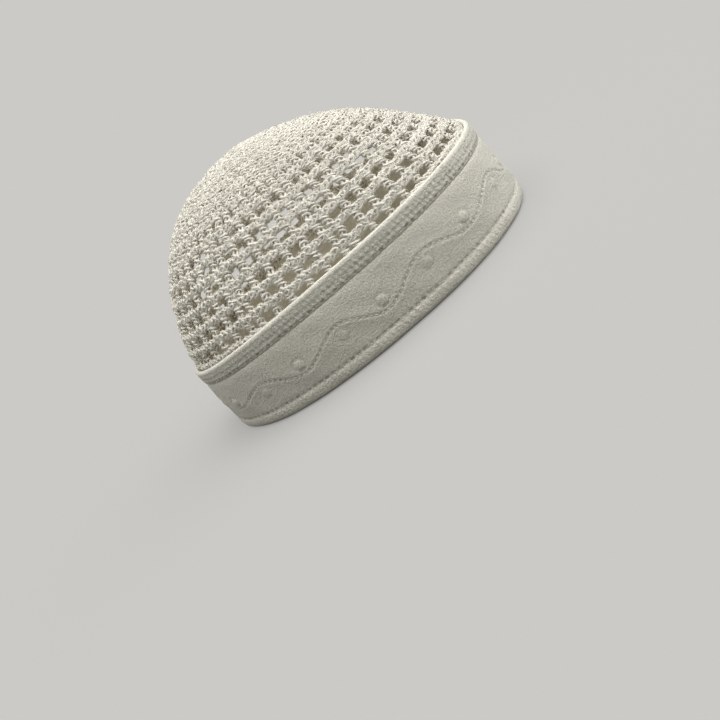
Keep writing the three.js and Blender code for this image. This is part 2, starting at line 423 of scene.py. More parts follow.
def waves(turn, rise, table):
    """Some waves added up, each with its number in a lap, its slant and where it starts."""
    return sum(np.sin(laps * turn + slant * rise + phase) for laps, slant, phase in table)


def uneven(turn, length):
    """Places on the crown as the hand leaves them, a little off the even ones."""
    rise = length / WAVE_RISE
    free = np.clip((length - HELD_BELOW) / FREE_AFTER, 0, 1)
    aside = UNEVENNESS / CROWN_RADIUS * waves(turn, rise, ASIDE_WAVES)
    upward = UNEVENNESS * waves(turn, rise, UPWARD_WAVES)
    return turn + aside * free, length + upward * free


def crown_axes(turn, length):
    """Points of the crown with the directions round it, up it and out of it."""
    turn, length = uneven(turn, length)
    step = 2 * math.pi / DOME_TURNS
    around = unit(crown_point(turn + step, length) - crown_point(turn - step, length))
    upward = unit(crown_point(turn, length + CROWN_STEP) - crown_point(turn, length - CROWN_STEP))
    outward = unit(np.cross(around, upward))
    return crown_point(turn, length), around, unit(np.cross(outward, around)), outward


# Modelling

def deselect():
    if bpy.context.object and bpy.context.object.mode != "OBJECT":
        bpy.ops.object.mode_set(mode="OBJECT")
    bpy.ops.object.select_all(action="DESELECT")


def added(add, **settings):
    """A new piece from one of Blender's operators, with its place and turn made part of its mesh."""
    deselect()
    add(**settings)
    bpy.ops.object.transform_apply()
    return bpy.context.object


def join(pieces, name):
    """Joins pieces into the first of them, and names it."""
    deselect()
    for piece in pieces:
        piece.select_set(True)
    bpy.context.view_layer.objects.active = pieces[0]
    bpy.ops.object.join()
    pieces[0].name = name
    return pieces[0]


def numbers_of(items, name, size):
    """One kind of number that Blender keeps for each of some items, one row for each item."""
    flat = np.empty(len(items) * size)
    items.foreach_get(name, flat)
    return flat.reshape(-1, size)


def places_of(piece):
    return numbers_of(piece.data.vertices, "co", 3)


def move_vertices(piece, places):
    piece.data.vertices.foreach_set("co", np.asarray(places, float).ravel())
    piece.data.update()


def strand_map(piece, along_axis, along_length):
    """Keeps a tube's own map as its length along the strand and its share of the way round it."""
    layer = piece.data.uv_layers.active
    layer.name = "strand"
    pairs = numbers_of(layer.data, "uv", 2)
    mapped = np.stack([pairs[:, along_axis] * along_length, pairs[:, 1 - along_axis]], -1)
    layer.data.foreach_set("uv", mapped.ravel())


def cut_across(piece, least_height, cuts):
    """Cuts a piece's upright edges, the ones at least so high, into equal lengths."""
    bpy.ops.object.mode_set(mode="EDIT")
    bpy.ops.mesh.select_all(action="DESELECT")
    bpy.ops.object.mode_set(mode="OBJECT")
    for edge in piece.data.edges:
        low, high = (piece.data.vertices[i].co for i in edge.vertices)
        edge.select = abs(low.z - high.z) > least_height
    bpy.ops.object.mode_set(mode="EDIT")
    bpy.ops.mesh.select_mode(type="EDGE")
    bpy.ops.mesh.subdivide(number_cuts=cuts)
    bpy.ops.object.mode_set(mode="OBJECT")


def straight_strand(x, y):
    """An upright strand of yarn, cut across so that it can be twisted."""
    strand = added(
        bpy.ops.mesh.primitive_cylinder_add,
        vertices=4, radius=YARN_RADIUS, depth=POST_HEIGHT, location=(x, y, POST_HEIGHT / 2),
    )
    cut_across(strand, POST_HEIGHT / 2, 4)
    strand_map(strand, 1, 2 * POST_HEIGHT)
    return strand


def twisted_strands():
    """The strands of a tall crochet stitch, wound round each other."""
    ways = np.arange(STRANDS) / STRANDS * 2 * math.pi
    places = [(STRAND_SPREAD * math.cos(way), STRAND_SPREAD * math.sin(way)) for way in ways]
    post = join([straight_strand(x, y) for x, y in places], "post")
    bpy.ops.object.modifier_add(type="SIMPLE_DEFORM")
    twister = post.modifiers[-1]
    twister.deform_method = "TWIST"
    twister.deform_axis = "Z"
    twister.angle = POST_TWIST
    bpy.ops.object.modifier_apply(modifier=twister.name)
    return post


def yarn_ring(segments, radius, thickness, **place):
    """A closed ring of yarn."""
    ring = added(
        bpy.ops.mesh.primitive_torus_add, major_segments=segments, minor_segments=4,
        major_radius=radius, minor_radius=thickness, **place,
    )
    strand_map(ring, 0, 2 * math.pi * radius)
    return ring


def yarn_wrap(wrap):
    """A wrap of yarn round a tall stitch."""
    place = {"location": (0, 0, wrap["at"] * POST_HEIGHT), "rotation": (wrap["tilt"], wrap["lean"], 0)}
    return yarn_ring(8, wrap["radius"], WRAP_THICKNESS, **place)


def chain_loop(loop):
    """One loop of the chain that tops each round."""
    link = yarn_ring(9, LINK_RADIUS, YARN_RADIUS, rotation=(math.pi / 2, 0, 0))
    places = places_of(link)
    angle = np.arctan2(places[:, 2], places[:, 0])
    ring = np.stack([np.cos(angle), np.zeros(len(angle)), np.sin(angle)], -1) * LINK_RADIUS
    pulled = loop["size"] * np.stack([
        np.cos(angle) * LINK_REACH,
        -LINK_SLANT * np.cos(angle),
        np.sin(angle) * LINK_HALF_HEIGHT * (1 - LINK_TAPER * np.cos(angle)),
    ], -1)
    places += pulled - ring - np.array([0, loop["out"], 0])
    turned = Matrix.Rotation(loop["lean"], 3, "Y")
    move_vertices(link, places @ np.array(turned).T)
    return link


def joined_copies(name, template, places):
    """One mesh of many copies of a small one. places has one row of vertex places for each copy."""
    source = template.data
    count, size = places.shape[:2]
    faces = [tuple(face.vertices) for face in source.polygons]
    copied = [tuple(i + copy * size for i in face) for copy in range(count) for face in faces]
    mesh = bpy.data.meshes.new(name)
    mesh.from_pydata((places.reshape(-1, 3) * MM).tolist(), [], copied)
    mapped = source.uv_layers.active
    layer = mesh.uv_layers.new(name=mapped.name)
    layer.data.foreach_set("uv", np.tile(numbers_of(mapped.data, "uv", 2).ravel(), count))
    mesh.shade_smooth()
    piece = bpy.data.objects.new(name, mesh)
    bpy.context.scene.collection.objects.link(piece)
    return piece


def discard(pieces):
    for piece in pieces:
        bpy.data.objects.remove(piece)


# Crown

def line_length(line, turn):
    """How far up the crown a round's upper chain lies. Line 0 is the chain under the first net round."""
    turn = np.asarray(turn, float)
    if line < 0:
        return np.full(turn.shape, TUCKED_LINE)
    rise = ENDS_RISE * (1 - np.abs(np.cos(turn)) ** ENDS_SHARPNESS)
    net = FIRST_LINE + ROUND_PITCH * min(line, NET_ROUNDS) + rise
    dense = max(line - NET_ROUNDS, 0) / len(DENSE_STITCHES)
    return net + (dome_length(turn) - STARTING_RING - net) * dense


def post_girths(line):
    """Places of the open net's posts, drawn together at the first sector low down and apart higher up."""
    wide = (GIRTH / SECTORS - NARROW_GAP) / WIDE_GAPS
    starts = FIRST_SECTOR + np.arange(SECTORS) * GIRTH / SECTORS
    steps = np.array([0] + [NARROW_GAP + wide * i for i in range(WIDE_GAPS)])
    girths = (starts[:, None] + steps[None, :]).ravel()
    reach = GIRTH / (2 * math.pi)
    spread = LINE_SPREAD_START + LINE_SPREAD_STEP * max(line, 0)
    return girths + spread * reach * np.sin((girths - FIRST_SECTOR - NARROW_GAP / 2) / reach)


def lay_posts(template, round_posts):
    """Vertex places of a tall stitch's strands or wraps, from the stitches' feet to their heads."""
    shape = places_of(template)
    share = shape[:, 2] / POST_HEIGHT
    sideways, outwards = shape[None, :, 0], shape[None, :, 1]
    post = {name: values[:, None] for name, values in round_posts.items()}
    turn = post["foot"] + (post["head"] - post["foot"]) * share
    length = post["low"] + (post["high"] - post["low"]) * share
    base, around, _, outward = crown_axes(turn, length)
    spread = 1 + POST_FLARE * (2 * share - 1) ** 2
    cosine, sine = np.cos(post["spin"]), np.sin(post["spin"])
    across = (sideways * cosine - outwards * sine) * post["width"] * spread
    out = post["depth"] - YARN_DEPTH - (sideways * sine + outwards * cosine) * PRESSED_FLAT
    return base + around * across[..., None] + outward * out[..., None]


def lay_links(template, turns, lengths, sizes):
    """Vertex places of chain loops."""
    shape = places_of(template)
    base, around, upward, outward = (axis[:, None] for axis in crown_axes(turns, lengths))
    along = (shape[None, :, 0] * sizes[:, None])[..., None]
    up = (shape[None, :, 2] * sizes[:, None])[..., None]
    stands_out = draw.normal(*LINK_OUT, len(sizes))
    out = (stands_out[:, None] - YARN_DEPTH - shape[None, :, 1])[..., None]
    return base + around * along + upward * up + outward * out


def crochet_round(lower, feet, heads, width):
    """The places and sizes of a round of tall stitches between two lines."""
    count = len(feet)
    feet = feet + draw.normal(0, TURN_SPREAD, count)
    heads = heads + draw.normal(0, TURN_SPREAD, count)
    return {
        "foot": feet,
        "head": heads,
        "low": line_length(lower, feet),
        "high": line_length(lower + 1, heads),
        "width": width * draw.uniform(*POST_WIDTHS, count),
        "depth": draw.normal(0, POST_DEPTH_SPREAD, count),
        "spin": draw.uniform(-POST_SPIN, POST_SPIN, count),
    }


def crochet_posts(name, rounds):
    """All tall stitches of some rounds in one mesh: their strands, and the wraps round each."""
    parts = [twisted_strands(), *(yarn_wrap(wrap) for wrap in WRAPS)]
    posts = {key: np.concatenate([one[key] for one in rounds]) for key in rounds[0]}
    laid = []
    for number, part in enumerate(parts):
        posts["spin"] = posts["spin"] + draw.uniform(-PART_SPIN, PART_SPIN, len(posts["spin"]))
        laid.append(joined_copies(f"{name}_{number}", part, lay_posts(part, posts)))
    discard(parts)
    return join(laid, name)


def chain_turns(line):
    """Turns of the chain loops along a line, at even steps."""
    turns = np.linspace(0, 2 * math.pi, LINE_SAMPLES)
    points = crown_point(turns, line_length(line, turns))
    lengths = np.concatenate([[0], np.cumsum(np.linalg.norm(np.diff(points, axis=0), axis=1))])
    count = max(8, round(lengths[-1] / CHAIN_PITCH))
    return np.interp((np.arange(count) + 0.5) / count * lengths[-1], lengths, turns)


def crochet_chains(name, lines):
    """The chains along some lines in one mesh, each link two loops of yarn."""
    parts = []
    for number, loop in enumerate(LINK_LOOPS):
        template = chain_loop(loop)
        laid = []
        for line in lines:
            turns = chain_turns(line) + loop["turn"]
            lengths = line_length(line, turns) + draw.normal(0, LINK_UP_SPREAD, len(turns))
            sizes = draw.uniform(*LINK_SIZES, len(turns))
            laid.append(lay_links(template, turns, lengths, sizes))
        parts.append(joined_copies(f"{name}_{number}", template, np.concatenate(laid)))
        discard([template])
    return join(parts, name)


def crochet():
    """The crown's pieces: the posts of the net, its chains, and the dense middle."""
    net = []
    for line in range(-1, NET_ROUNDS - 1):
        feet, heads = turn_at(post_girths(line)), turn_at(post_girths(line + 1))
        heads = feet + np.mod(heads - feet + math.pi, 2 * math.pi) - math.pi
        net.append(crochet_round(line, feet, heads, NET_WIDTH))
    places = (np.arange(LAST_NET_STITCHES) + LAST_NET_SHIFT) * GIRTH / LAST_NET_STITCHES
    even = turn_at(FIRST_SECTOR + places)
    net.append(crochet_round(NET_ROUNDS - 1, even, even, NET_WIDTH))

    dense = []
    for step, count in enumerate(DENSE_STITCHES):
        turns = turn_at((np.arange(count) + 0.5 * (step % 2)) * GIRTH / count)
        dense.append(crochet_round(NET_ROUNDS + step, turns, turns, DENSE_WIDTH))
    middle_posts = crochet_posts("middle_posts", dense)
    middle_chains = crochet_chains("middle_chains", range(NET_ROUNDS + 1, NET_ROUNDS + len(DENSE_STITCHES)))
    middle = join([middle_posts, middle_chains], "dense_middle")
    return [crochet_posts("net_posts", net), crochet_chains("round_chains", range(NET_ROUNDS + 1)), middle]


def fibre_template():
    """One loose fibre, a millimetre long."""
    fibre = added(
        bpy.ops.mesh.primitive_cone_add,
        vertices=3, radius1=FIBRE_RADIUS, radius2=0, depth=1, location=(0, 0, 0.5),
    )
    fibre.data.uv_layers.active.name = "strand"
    return fibre


def loose_fibres(pieces):
    """Short fibres that lie loose on the yarn all over."""
    roots = np.concatenate([places_of(piece) / MM for piece in pieces])
    ways = np.concatenate([numbers_of(piece.data.vertices, "normal", 3) for piece in pieces])
    outward = unit((roots - CROWN_MIDDLE) / CROWN_REACH ** 2)
    outer = np.flatnonzero((ways * outward).sum(1) > FACES_OUT)
    chosen = draw.choice(outer, FIBRES, replace=False)
    roots, ways, outward = roots[chosen], ways[chosen], outward[chosen]

    fibre = fibre_template()
    shape = places_of(fibre)
    ahead = draw.normal(0, 1, (FIBRES, 3))
    ahead = unit(unit(ahead - ways * (ahead * ways).sum(1)[:, None]) + FIBRE_LIFT * ways)
    rise = (ahead * outward).sum(1)
    ahead = unit(ahead + outward * (np.clip(rise, *FIBRE_SLOPES) - rise)[:, None])
    lengths = draw.uniform(*FIBRE_LENGTHS, FIBRES)
    side = unit(np.cross(ahead, ways + 0.3))
    other = np.cross(ahead, side)
    places = roots[:, None] - FIBRE_SINK * ways[:, None]
    places = places + lengths[:, None, None] * ahead[:, None] * shape[None, :, 2, None]
    places = places + side[:, None] * shape[None, :, 0, None] + other[:, None] * shape[None, :, 1, None]
    fluff = joined_copies("loose_fibres", fibre, places)
    discard([fibre])
    return fluff


# Cloth

def closed_curve(points, steps=40):
    """A smooth closed line through points."""
    points = np.array(points, float)[:, None]
    before, after, beyond = (np.roll(points, shift, axis=0) for shift in (1, -1, -2))
    part = (np.arange(steps) / steps)[None, :, None]
    return eased(before, points, after, beyond, part).reshape(-1, 2)


def section_rows(section, fineness):
    """Rows round a section, and how far round it each one is."""
    curve = closed_curve(section)
    steps = np.linalg.norm(np.roll(curve, -1, axis=0) - curve, axis=1)
    is_fine = (curve[:, 0] > fineness["outer_side"]) & (curve[:, 1] < fineness["fine_below"])
    reached = np.concatenate([[0], np.cumsum(steps * np.where(is_fine, fineness["closer"], 1.0))])
    wanted = np.arange(fineness["rows"]) / fineness["rows"] * reached[-1]
    closed = np.vstack([curve, curve[:1]])
    rows = np.stack([np.interp(wanted, reached, closed[:, axis]) for axis in range(2)], -1)
    walked = np.interp(np.append(wanted, reached[-1]), reached, np.concatenate([[0], np.cumsum(steps)]))
    return rows, walked


HEM_STITCHES = round(GIRTH / STITCH_PITCH)
EVEN_PITCH = GIRTH / HEM_STITCHES
PUCKERS = round(PUCKERS_PER_STITCH * HEM_STITCHES)
CLOTH_COLUMNS = HEM_STITCHES * COLUMNS_PER_STITCH


def cloth_loop(name, section, fineness, relief, shade_amount):
    """A closed loop of cloth round the cap: a flat strip, wrapped round it and joined to itself.

    Its relief is given by one function, and by another how much painted shade darkens it, in the dimples of
    its stitches and in its folds and grooves.
    """
    rows, walked = section_rows(section, fineness)
    grid = {"x_subdivisions": CLOTH_COLUMNS, "y_subdivisions": len(rows), "size": 1}
    piece = added(bpy.ops.mesh.primitive_grid_add, **grid)
    piece.name = name
    flat = places_of(piece)
    column = np.rint((flat[:, 0] + 0.5) * CLOTH_COLUMNS).astype(int)
    row = np.rint((flat[:, 1] + 0.5) * len(rows)).astype(int)
    girths = column % CLOTH_COLUMNS * GIRTH / CLOTH_COLUMNS
    out, up = rows[row % len(rows)].T
    places = band_point(turn_at(girths), out + relief(girths, out, up), up)
    places[:, 2] = np.maximum(places[:, 2], 0)
    move_vertices(piece, places * MM)
    layer = piece.data.uv_layers.active
    layer.name = "cloth"
    corners = np.empty(len(piece.data.loops), int)
    piece.data.loops.foreach_get("vertex_index", corners)
    mapped = np.stack([column * GIRTH / CLOTH_COLUMNS, walked[row]], -1)
    layer.data.foreach_set("uv", mapped[corners].ravel())
    # Painted shade: how much darker the cloth is made in the dimples of its stitches and in its folds and
    # grooves, kept on its points for the finish
    seam = piece.data.attributes.new("seam", "FLOAT", "POINT")
    seam.data.foreach_set("value", np.clip(shade_amount(girths, out, up), 0, 1))
    bpy.ops.object.mode_set(mode="EDIT")
    bpy.ops.mesh.select_all(action="SELECT")
    bpy.ops.mesh.remove_doubles(threshold=WELD)
    bpy.ops.mesh.normals_make_consistent(inside=False)
    bpy.ops.object.mode_set(mode="OBJECT")
    bpy.ops.object.shade_smooth()
    return piece


def vine_points():
    """The vine's crests and dips in order, as girths and heights, for one lap and a bit each side."""
    girths, heights = [], []
    for lap in (-1, 0, 1):
        for wave in VINE:
            girths += [wave["crest"] + lap * GIRTH, wave["dip"] + lap * GIRTH]
            heights += [wave["crest_up"], wave["dip_up"]]
    return np.array(girths), np.array(heights)


def vine_up(girth):
    """Height of the vine above the rim."""
    girths, heights = vine_points()
    i = np.clip(np.searchsorted(girths, girth, side="right") - 1, 0, len(girths) - 2)
    part = (girth - girths[i]) / (girths[i + 1] - girths[i])
    ease = (1 - np.cos(math.pi * part)) / 2
    return heights[i] + (heights[i + 1] - heights[i]) * ease


def vine_slope(girth):
    """How much the vine climbs in a millimetre."""
    return vine_up(girth + HALF_STEP) - vine_up(girth - HALF_STEP)


def vine_distance(girth, up):
    """How far above the vine's line a place is."""
    return (up - vine_up(girth)) / np.sqrt(1 + vine_slope(girth) ** 2)


def berry_places():
    """Middles of the berries over the dips and under the crests, with how far each stands out."""
    for wave in VINE:
        for berry in BERRIES:
            place = berry["by"]
            yield wave[place] + berry["aside"], wave[f"{place}_up"] + berry["over"], berry["proud"]


def round_berries(girth, up):
    """For each berry, how far every place is from its middle, and how proud it stands."""
    for middle, rise, proud in berry_places():
        aside = np.mod(girth - middle + GIRTH / 2, GIRTH) - GIRTH / 2
        yield np.hypot(aside, up - rise), proud


def bump(distance, width):
    """A soft round bump, 1 in the middle."""
    return np.exp(-(distance / width) ** 2)


def undulation(girth, up, size):
    """Slow unevenness of hand-worn cloth, the same after a whole lap."""
    total = 0
    for laps, rate, phase in CLOTH_WAVES:
        total += np.sin(2 * math.pi * laps * girth / GIRTH + rate * up * 2 + phase)
    return size * total / 3


def dashes(girth, pitch, shift=0.0):
    """Up to 1 along each stitch of a row, some tighter than others, and 0 at the gap between two."""
    lap = 2 * math.pi * girth / GIRTH
    tightness = 0.8 + 0.2 * np.sin(29 * lap + 9 * shift) + 0.2 * np.sin(67 * lap + 5 * shift + 1)
    return np.clip(0.5 + np.cos(2 * math.pi * (girth / pitch + shift)), 0, 1) * tightness


def puckers(girth, up, slant):
    """Short uneven folds that a row of stitches pulls into the cloth."""
    lap = 2 * math.pi * girth / GIRTH
    wander = np.sin(9 * lap + 1) + np.sin(23 * lap + 2) + 0.6 * np.sin(41 * lap + 0.5 * up)
    return np.sin(lap * PUCKERS + slant * up + 1.3 * wander)


def form(shape, distance):
    """A soft form, at its full size in the middle."""
    return shape["size"] * bump(distance, shape["wide"])


def sewn_line(shape, distance, stitches):
    """A line of stitches, stronger at each stitch than between two."""
    return bump(distance, shape["wide"]) * (shape["between"] + shape["stitch"] * stitches)


def band_relief(girth, out, up):
    """Relief of the quilted band: the hem's stitches and folds, the vine, and its berries."""
    across_hem = up - HEM_ROW_UP
    distance = vine_distance(girth, up)
    relief = undulation(girth, up, BAND_WAVINESS)
    relief -= form(HEM_STITCH, across_hem) * dashes(girth, EVEN_PITCH)
    relief -= form(HEM_GROOVE, across_hem)
    for fold in HEM_FOLDS:
        relief += form(fold, across_hem - fold["over_row"]) * puckers(girth, up, fold["slant"])
    relief += form(VINE_SWELL, distance)
    relief -= sewn_line(VINE_STITCH, distance, dashes(girth, VINE_PITCH))
    for reach, proud in round_berries(girth, up):
        dome = np.clip(1 - (reach / BERRY_RADIUS) ** 2, 0, 1)
        relief += proud * (BERRY_SWELL * dome - form(BERRY_RING, reach - BERRY_RADIUS))
    bare = 1 - np.clip((up - BINDING_COVERS["from"]) / BINDING_COVERS["fully_after"], 0, 1)
    return np.where(out > BAND_OUTER_SIDE, relief * bare, undulation(girth, up, INSIDE_WAVINESS) * bare)


def band_painted_shade(girth, out, up):
    """How much painted shade darkens each place of the band, in the dimples of its stitches and round its
    berries, from 0 to 1.
    """
    hem = form(HEM_SHADE, up - HEM_ROW_UP) * dashes(girth, EVEN_PITCH)
    vine = sewn_line(VINE_SHADE, vine_distance(girth, up), dashes(girth, VINE_PITCH))
    shade_amount = np.maximum(hem, vine)
    for reach, proud in round_berries(girth, up):
        shade_amount = np.maximum(shade_amount, form(BERRY_SHADE, reach - BERRY_RADIUS) * proud)
    return np.where(out > BAND_OUTER_SIDE, shade_amount, 0)


def binding_relief(girth, out, up):
    """Relief of the folded binding, pulled in along its rows of stitches and at its join."""
    relief = undulation(girth, up, BINDING_WAVINESS)
    relief += form(BINDING_FOLDS, up - BINDING_MIDDLE) * puckers(girth, up, BINDING_FOLDS["slant"])
    for row in BINDING_ROWS:
        across = up - row["up"]
        stitches = dashes(girth, EVEN_PITCH, row["shift"])
        relief -= sewn_line(BINDING_STITCH, across, stitches) * row["pull"]
        relief -= form(BINDING_GROOVE, across)
    relief -= form(JOIN_GROOVE, girth - BINDING_JOIN)
    return np.where(out > BINDING_OUTER_SIDE, relief, 0.0)


def binding_painted_shade(girth, out, up):
    """How much painted shade darkens each place of the binding, in its folds, its join and the dimples of its
    stitches, from 0 to 1.
    """
    folds = 1 - FOLD_SHADE["folds"] * puckers(girth, up, BINDING_FOLDS["slant"])
    shade_amount = form(FOLD_SHADE, up - BINDING_MIDDLE) * folds
    shade_amount = np.maximum(shade_amount, form(JOIN_SHADE, girth - BINDING_JOIN))
    for row in BINDING_ROWS:
        stitches = dashes(girth, EVEN_PITCH, row["shift"])
        shade_amount = np.maximum(shade_amount, sewn_line(ROW_SHADE, up - row["up"], stitches) * row["dark"])
    return np.where(out > BINDING_OUTER_SIDE, shade_amount, 0)


# Thread

def thread_stitch():
    """One machine stitch: a short length of thread whose ends dive into the cloth."""
    stitch = added(
        bpy.ops.mesh.primitive_uv_sphere_add,
        segments=6, ring_count=5, radius=1.0, rotation=(0, math.pi / 2, 0),
    )
    stitch.data.uv_layers.active.name = "strand"
    return stitch


def outer_face(section, up):
    """How far out the smooth section's outer face is at a height."""
    curve = closed_curve(section)
    face = curve[curve[:, 0] > BAND_OUTER_SIDE]
    face = face[np.argsort(face[:, 1])]
    return np.interp(up, face[:, 1], face[:, 0])


def lay_thread(template, section, relief, thread, girths, ups, angles):
    """Vertex places of stitches on a cloth's outer face, each turned by its angle from level."""
    shape = places_of(template)
    turns = turn_at(girths)
    outs = outer_face(section, ups) + relief(girths, ups * 0, ups) + thread["lift"]
    after, before = turn_at(girths + HALF_STEP), turn_at(girths - HALF_STEP)
    ahead = unit(band_point(after, outs, ups) - band_point(before, outs, ups))
    upward = unit(band_point(turns, outs, ups + HALF_STEP) - band_point(turns, outs, ups - HALF_STEP))
    outward = unit(np.cross(ahead, upward))
    along = ahead * np.cos(angles)[:, None] + upward * np.sin(angles)[:, None]
    across = np.cross(along, outward)
    run = shape[:, 0] * thread["half_length"]
    out = shape[:, 1] * THREAD_RADIUS - THREAD_SAG * shape[:, 0] ** 2
    return (
        band_point(turns, outs, ups)[:, None]
        + along[:, None] * run[:, None]
        + outward[:, None] * out[:, None]
        + across[:, None] * (shape[:, 2] * THREAD_RADIUS)[:, None]
    )


def sew_thread():
    """All machine stitches in one mesh: the hem's row, the binding's rows, the vine and the berries."""
    stitch = thread_stitch()
    on_band = (stitch, BAND_SECTION, band_relief)
    on_binding = (stitch, BINDING_SECTION, binding_relief)

    count = HEM_STITCHES
    girths = np.arange(count) * GIRTH / count
    angles = draw.normal(0, HEM_THREAD["tilt"], count)
    rows = [lay_thread(*on_band, HEM_THREAD, girths, np.full(count, HEM_ROW_UP), angles)]

    for row in BINDING_ROWS:
        girths = (np.arange(count) - row["shift"]) * GIRTH / count
        ups = row["up"] + draw.normal(0, BINDING_THREAD["stray"], count)
        angles = draw.normal(0, BINDING_THREAD["tilt"], count)
        rows.append(lay_thread(*on_binding, BINDING_THREAD, girths, ups, angles))

    vine_count = round(GIRTH / VINE_PITCH)
    girths = (np.arange(vine_count) + 0.5) * GIRTH / vine_count
    rows.append(lay_thread(*on_band, VINE_THREAD, girths, vine_up(girths), np.arctan(vine_slope(girths))))

    ring = np.arange(BERRY_THREAD["count"]) / BERRY_THREAD["count"] * 2 * math.pi
    reach = BERRY_RADIUS + BERRY_THREAD["outside"]
    for middle, rise, _ in berry_places():
        girths, ups = middle + reach * np.cos(ring), rise + reach * np.sin(ring)
        rows.append(lay_thread(*on_band, BERRY_THREAD, girths, ups, ring + math.pi / 2))

    thread = joined_copies("sewing_thread", stitch, np.concatenate(rows))
    discard([stitch])
    return thread


# Finishes

def finish_material(name):
    """A new material with its node tree and its main shader."""
    material = bpy.data.materials.new(name)
    material.use_nodes = True
    return material, material.node_tree, material.node_tree.nodes["Principled BSDF"]


def fill_in(tree, node, values):
    """Gives a node's inputs plain values, or joins them to what other nodes put out."""
    for name, value in values.items():
        if isinstance(value, bpy.types.NodeSocket):
            tree.links.new(value, node.inputs[name])
        else:
            node.inputs[name].default_value = value


def made(tree, kind, values):
    """A new node with its inputs filled in."""
    node = tree.nodes.new("ShaderNode" + kind)
    fill_in(tree, node, values)
    return node


def worked_out(tree, kind, operation, *values):
    """The outputs of a node that does sums with numbers or vectors."""
    node = made(tree, kind, {})
    node.operation = operation
    fill_in(tree, node, dict(enumerate(values)))
    return node.outputs


def mapped_by(tree, name):
    """Places in one of a piece's own maps, in millimetres."""
    node = made(tree, "UVMap", {})
    node.uv_map = name
    return node.outputs["UV"]


def place_in_space(tree):
    return made(tree, "TexCoord", {}).outputs["Object"]


def noise(tree, coordinates, scale, detail):
    settings = {"Scale": scale, "Detail": detail, "Vector": coordinates}
    return made(tree, "TexNoise", settings).outputs["Fac"]


def sums(tree, first, first_weight, second, second_weight):
    """A weighted sum of two values."""
    left = worked_out(tree, "Math", "MULTIPLY", first, first_weight)["Value"]
    return worked_out(tree, "Math", "MULTIPLY_ADD", second, second_weight, left)["Value"]


def stripes(tree, coordinates, direction):
    """Soft stripes across a direction, in a map of millimetres: its length is the stripes in each one."""
    along = worked_out(tree, "VectorMath", "DOT_PRODUCT", coordinates, (*direction, 0))["Value"]
    turns = worked_out(tree, "Math", "MULTIPLY", along, 2 * math.pi)["Value"]
    return worked_out(tree, "Math", "SINE", turns)["Value"]


def faded(tree, value, start, end, first=0.0, last=1.0, smooth=False):
    """A number that goes from first to last as a value goes from start to end."""
    node = made(tree, "MapRange", {})
    if smooth:
        node.interpolation_type = "SMOOTHSTEP"
    fill_in(tree, node, {"Value": value, "From Min": start, "From Max": end, "To Min": first, "To Max": last})
    return node.outputs["Result"]


def colour_range(tree, value, low, high, dark, light):
    """A colour that goes from dark to light as a value goes from low to high."""
    node = made(tree, "ValToRGB", {"Fac": value})
    first, last = node.color_ramp.elements
    first.position, last.position = low, high
    first.color, last.color = (*dark, 1), (*light, 1)
    return node.outputs["Color"]


def mixed(tree, kind, factor, first, second):
    """The first where the factor is 0, and the second where it is 1. The kind is FLOAT or RGBA."""
    node = made(tree, "Mix", {})
    node.data_type = kind
    fill_in(tree, node, {"Factor": factor, "A": first, "B": second})
    return node.outputs["Result"]


def mixed_shaders(tree, factor, first, second):
    inputs = {0: factor, 1: first.outputs[0], 2: second.outputs[0]}
    return made(tree, "MixShader", inputs).outputs["Shader"]


def bumps(tree, height, distance, strength):
    settings = {"Height": height, "Distance": distance, "Strength": strength}
    return made(tree, "Bump", settings).outputs["Normal"]


def yarn_finish():
    """Plied cotton yarn, softly shiny, with loose fibre, and painted shade where its plies and flecks lie
    low.
    """
    material, tree, shader = finish_material("crochet_yarn")
    plies = stripes(tree, mapped_by(tree, "strand"), direction=(0.62, 1.0))
    flecks = noise(tree, place_in_space(tree), scale=1350, detail=3)
    # One height gives both the bumps and the colour, so the low places are darker: painted shade between the
    # plies and fibres
    height = sums(tree, plies, 0.14, flecks, 1.2)
    fill_in(tree, shader, {
        "Base Color": colour_range(tree, height, 0.35, 0.85, *YARN_COLOURS_AND_SHADE),
        "Normal": bumps(tree, height, distance=0.0001, strength=1.0),
        "Roughness": 0.7,
        "Specular IOR Level": 0.15,
        "Sheen Weight": 1.0,
        "Sheen Roughness": 0.4,
        "Sheen Tint": (*YARN_SHEEN, 1),
        "Subsurface Weight": 0.15,
        "Subsurface Radius": (1.0, 1.0, 1.0),
        "Subsurface Scale": 0.001,
    })
    return material


def cloth_finish():
    """Matt knitted fleece with a short uneven nap, and painted shade in the dimples of its stitches and in
    its folds and grooves.
    """
    material, tree, shader = finish_material("band_fleece")
    ribbed = worked_out(tree, "VectorMath", "MULTIPLY", mapped_by(tree, "cloth"), (1.7, 0.6, 1))
    ribs = noise(tree, ribbed["Vector"], scale=1.0, detail=2)
    nap = noise(tree, place_in_space(tree), scale=1250, detail=3)
    pile = sums(tree, ribs, 0.45, nap, 1.0)
    colour = colour_range(tree, pile, 0.5, 0.95, *CLOTH_COLOURS)
    # The colour is darkened by the painted shade that the cloth carries in its stitches, folds and grooves
    seam = made(tree, "Attribute", {})
    seam.attribute_name = "seam"
    fill_in(tree, shader, {
        "Base Color": mixed(tree, "RGBA", seam.outputs["Fac"], colour, (*PAINTED_SHADE_COLOUR, 1)),
        "Normal": bumps(tree, pile, distance=0.00052, strength=0.9),
        "Roughness": 0.92,
        "Specular IOR Level": 0.2,
        "Sheen Weight": 0.35,
        "Sheen Roughness": 0.6,
    })
    return material


